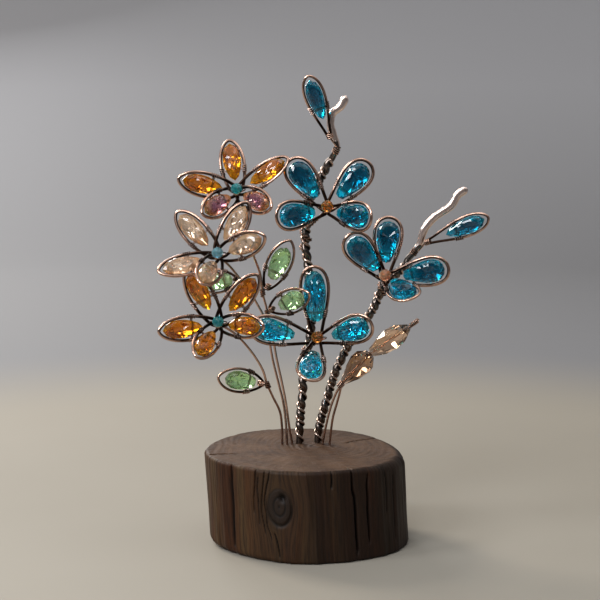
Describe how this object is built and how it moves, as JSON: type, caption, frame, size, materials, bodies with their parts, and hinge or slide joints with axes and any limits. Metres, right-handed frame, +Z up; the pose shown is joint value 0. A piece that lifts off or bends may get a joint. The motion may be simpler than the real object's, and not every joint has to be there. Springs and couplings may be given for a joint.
{
  "type": "crystal flower suncatcher",
  "caption": "Copper wire bouquet with glass drop flowers, leaves and buds on a round wood base; stands on a shelf and scatters sunlight.",
  "frame": {"origin": "middle of the wood base, at its underside, on the surface it stands on", "axes": "+Z up along the stems, -Y to the front where the flowers face, +X to the viewer's right"},
  "size_m": [0.1614, 0.0988, 0.2313],
  "materials": {
    "peridot_glass": "clear, polished facets",
    "copper_wire": "oxidised copper, brown with bright edges",
    "brown_amber_glass": "clear, polished facets",
    "cyan_blue_glass": "clear, polished facets",
    "aqua_glass": "clear, polished facets",
    "champagne_glass": "clear, polished facets",
    "teal_blue_glass": "clear, polished facets",
    "amber_glass": "clear, polished facets",
    "peach_glass": "clear, polished facets",
    "wood": "oiled, open grained"
  },
  "bodies": {
    "bouquet": {"back_green_leaf_frame": "copper_wire", "bud_stem": "copper_wire", "center_blue_bead": "brown_amber_glass", "center_blue_flower_frame": "copper_wire", "champagne_bead": "aqua_glass", "champagne_flower_frame": "copper_wire", "left_tip_leaf_frame": "copper_wire", "left_trunk": "copper_wire", "left_trunk_wrap": "copper_wire", "lower_amber_bead": "teal_blue_glass", "lower_amber_flower_frame": "copper_wire", "lower_green_leaf_frame": "copper_wire", "middle_green_leaf_frame": "copper_wire", "right_blue_bead": "peach_glass", "right_blue_flower_frame": "copper_wire", "right_tip_leaf_frame": "copper_wire", "right_trunk": "copper_wire", "right_trunk_wrap": "copper_wire", "top_blue_bead": "brown_amber_glass", "top_blue_flower_frame": "copper_wire", "upper_amber_bead": "teal_blue_glass", "upper_amber_flower_frame": "copper_wire", "upper_green_leaf_frame": "copper_wire", "wood_base": "wood"},
    "back_green_leaf_drop_body": {"back_green_leaf_drop": "peridot_glass"},
    "center_blue_drop_1_body": {"center_blue_drop_1": "cyan_blue_glass"},
    "center_blue_drop_2_body": {"center_blue_drop_2": "cyan_blue_glass"},
    "center_blue_drop_3_body": {"center_blue_drop_3": "cyan_blue_glass"},
    "center_blue_drop_4_body": {"center_blue_drop_4": "cyan_blue_glass"},
    "champagne_drop_1_body": {"champagne_drop_1": "champagne_glass"},
    "champagne_drop_2_body": {"champagne_drop_2": "champagne_glass"},
    "champagne_drop_3_body": {"champagne_drop_3": "champagne_glass"},
    "champagne_drop_4_body": {"champagne_drop_4": "champagne_glass"},
    "champagne_drop_5_body": {"champagne_drop_5": "champagne_glass"},
    "left_tip_leaf_drop_body": {"left_tip_leaf_drop": "teal_blue_glass"},
    "lower_amber_drop_1_body": {"lower_amber_drop_1": "amber_glass"},
    "lower_amber_drop_2_body": {"lower_amber_drop_2": "amber_glass"},
    "lower_amber_drop_3_body": {"lower_amber_drop_3": "amber_glass"},
    "lower_amber_drop_4_body": {"lower_amber_drop_4": "amber_glass"},
    "lower_amber_drop_5_body": {"lower_amber_drop_5": "amber_glass"},
    "lower_bud_body": {"lower_bud": "champagne_glass"},
    "lower_green_leaf_drop_body": {"lower_green_leaf_drop": "peridot_glass"},
    "middle_green_leaf_drop_body": {"middle_green_leaf_drop": "peridot_glass"},
    "right_blue_drop_1_body": {"right_blue_drop_1": "teal_blue_glass"},
    "right_blue_drop_2_body": {"right_blue_drop_2": "teal_blue_glass"},
    "right_blue_drop_3_body": {"right_blue_drop_3": "teal_blue_glass"},
    "right_blue_drop_4_body": {"right_blue_drop_4": "teal_blue_glass"},
    "right_tip_leaf_drop_body": {"right_tip_leaf_drop": "teal_blue_glass"},
    "top_blue_drop_1_body": {"top_blue_drop_1": "teal_blue_glass"},
    "top_blue_drop_2_body": {"top_blue_drop_2": "teal_blue_glass"},
    "top_blue_drop_3_body": {"top_blue_drop_3": "teal_blue_glass"},
    "top_blue_drop_4_body": {"top_blue_drop_4": "teal_blue_glass"},
    "upper_amber_drop_1_body": {"upper_amber_drop_1": "amber_glass"},
    "upper_amber_drop_2_body": {"upper_amber_drop_2": "amber_glass"},
    "upper_amber_drop_3_body": {"upper_amber_drop_3": "amber_glass"},
    "upper_amber_drop_4_body": {"upper_amber_drop_4": "amber_glass"},
    "upper_amber_drop_5_body": {"upper_amber_drop_5": "amber_glass"},
    "upper_bud_body": {"upper_bud": "champagne_glass"},
    "upper_green_leaf_drop_body": {"upper_green_leaf_drop": "peridot_glass"}
  },
  "joints": [
    {"name": "back_green_leaf_drop_rock", "type": "hinge", "parent": "bouquet", "child": "back_green_leaf_drop_body", "pos_m": [-0.04072, 0.00729, 0.12981], "axis": [-0.1736, 0, 0.9848], "range_deg": [-15, 15]},
    {"name": "center_blue_drop_1_rock", "type": "hinge", "parent": "bouquet", "child": "center_blue_drop_1_body", "pos_m": [0.00436, 0.00465, 0.11428], "axis": [0.9986, 0, 0.0523], "range_deg": [-10, 10]},
    {"name": "center_blue_drop_2_rock", "type": "hinge", "parent": "bouquet", "child": "center_blue_drop_2_body", "pos_m": [0.0165, -0.00182, 0.10447], "axis": [0.3584, 0, -0.9336], "range_deg": [-15, 15]},
    {"name": "center_blue_drop_3_rock", "type": "hinge", "parent": "bouquet", "child": "center_blue_drop_3_body", "pos_m": [0.00309, -0.00802, 0.09352], "axis": [-0.9563, 0, 0.2924], "range_deg": [-15, 15]},
    {"name": "center_blue_drop_4_rock", "type": "hinge", "parent": "bouquet", "child": "center_blue_drop_4_body", "pos_m": [-0.01079, -0.00063, 0.10436], "axis": [0.2588, 0, 0.9659], "range_deg": [-15, 15]},
    {"name": "champagne_drop_1_rock", "type": "hinge", "parent": "bouquet", "child": "champagne_drop_1_body", "pos_m": [-0.05196, -0.01345, 0.15347], "axis": [0.7193, 0, 0.6947], "range_deg": [-15, 15]},
    {"name": "champagne_drop_2_rock", "type": "hinge", "parent": "bouquet", "child": "champagne_drop_2_body", "pos_m": [-0.03706, -0.01368, 0.15548], "axis": [0.8746, 0, -0.4848], "range_deg": [-15, 15]},
    {"name": "champagne_drop_3_rock", "type": "hinge", "parent": "bouquet", "child": "champagne_drop_3_body", "pos_m": [-0.03347, -0.02285, 0.14915], "axis": [0.4384, 0, -0.8988], "range_deg": [-15, 15]},
    {"name": "champagne_drop_4_rock", "type": "hinge", "parent": "bouquet", "child": "champagne_drop_4_body", "pos_m": [-0.04604, -0.02802, 0.14019], "axis": [-0.829, 0, 0.5592], "range_deg": [-15, 15]},
    {"name": "champagne_drop_5_rock", "type": "hinge", "parent": "bouquet", "child": "champagne_drop_5_body", "pos_m": [-0.05581, -0.02207, 0.14172], "axis": [-0.4049, 0.5917, 0.6971], "range_deg": [-15, 15]},
    {"name": "left_tip_leaf_drop_rock", "type": "hinge", "parent": "bouquet", "child": "left_tip_leaf_drop_body", "pos_m": [0.00595, 0.00117, 0.21521], "axis": [0.9397, 0, 0.342], "range_deg": [-15, 15]},
    {"name": "lower_amber_drop_1_rock", "type": "hinge", "parent": "bouquet", "child": "lower_amber_drop_1_body", "pos_m": [-0.0505, -0.00886, 0.12223], "axis": [0.8746, 0, 0.4848], "range_deg": [-15, 15]},
    {"name": "lower_amber_drop_2_rock", "type": "hinge", "parent": "bouquet", "child": "lower_amber_drop_2_body", "pos_m": [-0.03458, -0.00811, 0.12102], "axis": [0.788, 0, -0.6157], "range_deg": [-15, 15]},
    {"name": "lower_amber_drop_3_rock", "type": "hinge", "parent": "bouquet", "child": "lower_amber_drop_3_body", "pos_m": [-0.03396, -0.01563, 0.11044], "axis": [0.0872, 0, -0.9962], "range_deg": [-15, 15]},
    {"name": "lower_amber_drop_4_rock", "type": "hinge", "parent": "bouquet", "child": "lower_amber_drop_4_body", "pos_m": [-0.04755, -0.01832, 0.1046], "axis": [-0.7771, 0, 0.6293], "range_deg": [-15, 15]},
    {"name": "lower_amber_drop_5_rock", "type": "hinge", "parent": "bouquet", "child": "lower_amber_drop_5_body", "pos_m": [-0.05637, -0.01307, 0.10893], "axis": [-0.0523, 0, 0.9986], "range_deg": [-15, 15]},
    {"name": "lower_bud_spin", "type": "hinge", "parent": "bouquet", "child": "lower_bud_body", "pos_m": [0.01834, 0.0067, 0.07868], "axis": [0.6497, -0.1876, 0.7367], "continuous": true},
    {"name": "lower_green_leaf_drop_rock", "type": "hinge", "parent": "bouquet", "child": "lower_green_leaf_drop_body", "pos_m": [-0.0295, 0.00087, 0.0799], "axis": [0.2588, 0, 0.9659], "range_deg": [-15, 15]},
    {"name": "middle_green_leaf_drop_rock", "type": "hinge", "parent": "bouquet", "child": "middle_green_leaf_drop_body", "pos_m": [-0.01061, 0.00462, 0.11856], "axis": [0.4848, 0, -0.8746], "range_deg": [-10, 10]},
    {"name": "right_blue_drop_1_rock", "type": "hinge", "parent": "bouquet", "child": "right_blue_drop_1_body", "pos_m": [0.03163, 0.00054, 0.13937], "axis": [0.766, 0, 0.6428], "range_deg": [-15, 15]},
    {"name": "right_blue_drop_2_rock", "type": "hinge", "parent": "bouquet", "child": "right_blue_drop_2_body", "pos_m": [0.03947, 0.00569, 0.14352], "axis": [0.9962, 0, -0.0872], "range_deg": [-15, 15]},
    {"name": "right_blue_drop_3_rock", "type": "hinge", "parent": "bouquet", "child": "right_blue_drop_3_body", "pos_m": [0.05198, -0.00079, 0.13394], "axis": [0.1908, 0, -0.9816], "range_deg": [-15, 15]},
    {"name": "right_blue_drop_4_rock", "type": "hinge", "parent": "bouquet", "child": "right_blue_drop_4_body", "pos_m": [0.04333, -0.00847, 0.12879], "axis": [-0.8824, -0.321, -0.344], "range_deg": [-15, 15]},
    {"name": "right_tip_leaf_drop_rock", "type": "hinge", "parent": "bouquet", "child": "right_tip_leaf_drop_body", "pos_m": [0.0735, -0.0014, 0.15568], "axis": [0.4067, 0, -0.9135], "range_deg": [-15, 15]},
    {"name": "top_blue_drop_1_rock", "type": "hinge", "parent": "bouquet", "child": "top_blue_drop_1_body", "pos_m": [0.00236, 0.008, 0.175], "axis": [0.7986, 0, 0.6018], "range_deg": [-15, 15]},
    {"name": "top_blue_drop_2_rock", "type": "hinge", "parent": "bouquet", "child": "top_blue_drop_2_body", "pos_m": [0.01862, 0.00796, 0.17469], "axis": [0.7431, 0, -0.6691], "range_deg": [-15, 15]},
    {"name": "top_blue_drop_3_rock", "type": "hinge", "parent": "bouquet", "child": "top_blue_drop_3_body", "pos_m": [0.01831, -0.00288, 0.16397], "axis": [-0.1219, 0, -0.9925], "range_deg": [-15, 15]},
    {"name": "top_blue_drop_4_rock", "type": "hinge", "parent": "bouquet", "child": "top_blue_drop_4_body", "pos_m": [-0.00006, -0.0011, 0.16413], "axis": [-0.0872, 0, 0.9962], "range_deg": [-15, 15]},
    {"name": "upper_amber_drop_1_rock", "type": "hinge", "parent": "bouquet", "child": "upper_amber_drop_1_body", "pos_m": [-0.03668, 0.01665, 0.18406], "axis": [0.9848, 0, 0.1736], "range_deg": [-15, 15]},
    {"name": "upper_amber_drop_2_rock", "type": "hinge", "parent": "bouquet", "child": "upper_amber_drop_2_body", "pos_m": [-0.02334, 0.00821, 0.18113], "axis": [0.345, -0.6349, -0.6913], "range_deg": [-15, 15]},
    {"name": "upper_amber_drop_3_rock", "type": "hinge", "parent": "bouquet", "child": "upper_amber_drop_3_body", "pos_m": [-0.02777, 0.00159, 0.17112], "axis": [-0.309, 0, -0.9511], "range_deg": [-15, 15]},
    {"name": "upper_amber_drop_4_rock", "type": "hinge", "parent": "bouquet", "child": "upper_amber_drop_4_body", "pos_m": [-0.04127, 0.00159, 0.16982], "axis": [-0.4848, 0, 0.8746], "range_deg": [-15, 15]},
    {"name": "upper_amber_drop_5_rock", "type": "hinge", "parent": "bouquet", "child": "upper_amber_drop_5_body", "pos_m": [-0.04722, 0.00814, 0.1765], "axis": [0.2419, 0, 0.9703], "range_deg": [-15, 15]},
    {"name": "upper_bud_spin", "type": "hinge", "parent": "bouquet", "child": "upper_bud_body", "pos_m": [0.03228, 0.00269, 0.09419], "axis": [0.7793, -0.208, 0.5911], "continuous": true},
    {"name": "upper_green_leaf_drop_rock", "type": "hinge", "parent": "bouquet", "child": "upper_green_leaf_drop_body", "pos_m": [-0.01591, 0.0123, 0.13372], "axis": [0.8988, 0, -0.4384], "range_deg": [-15, 15]}
  ]
}
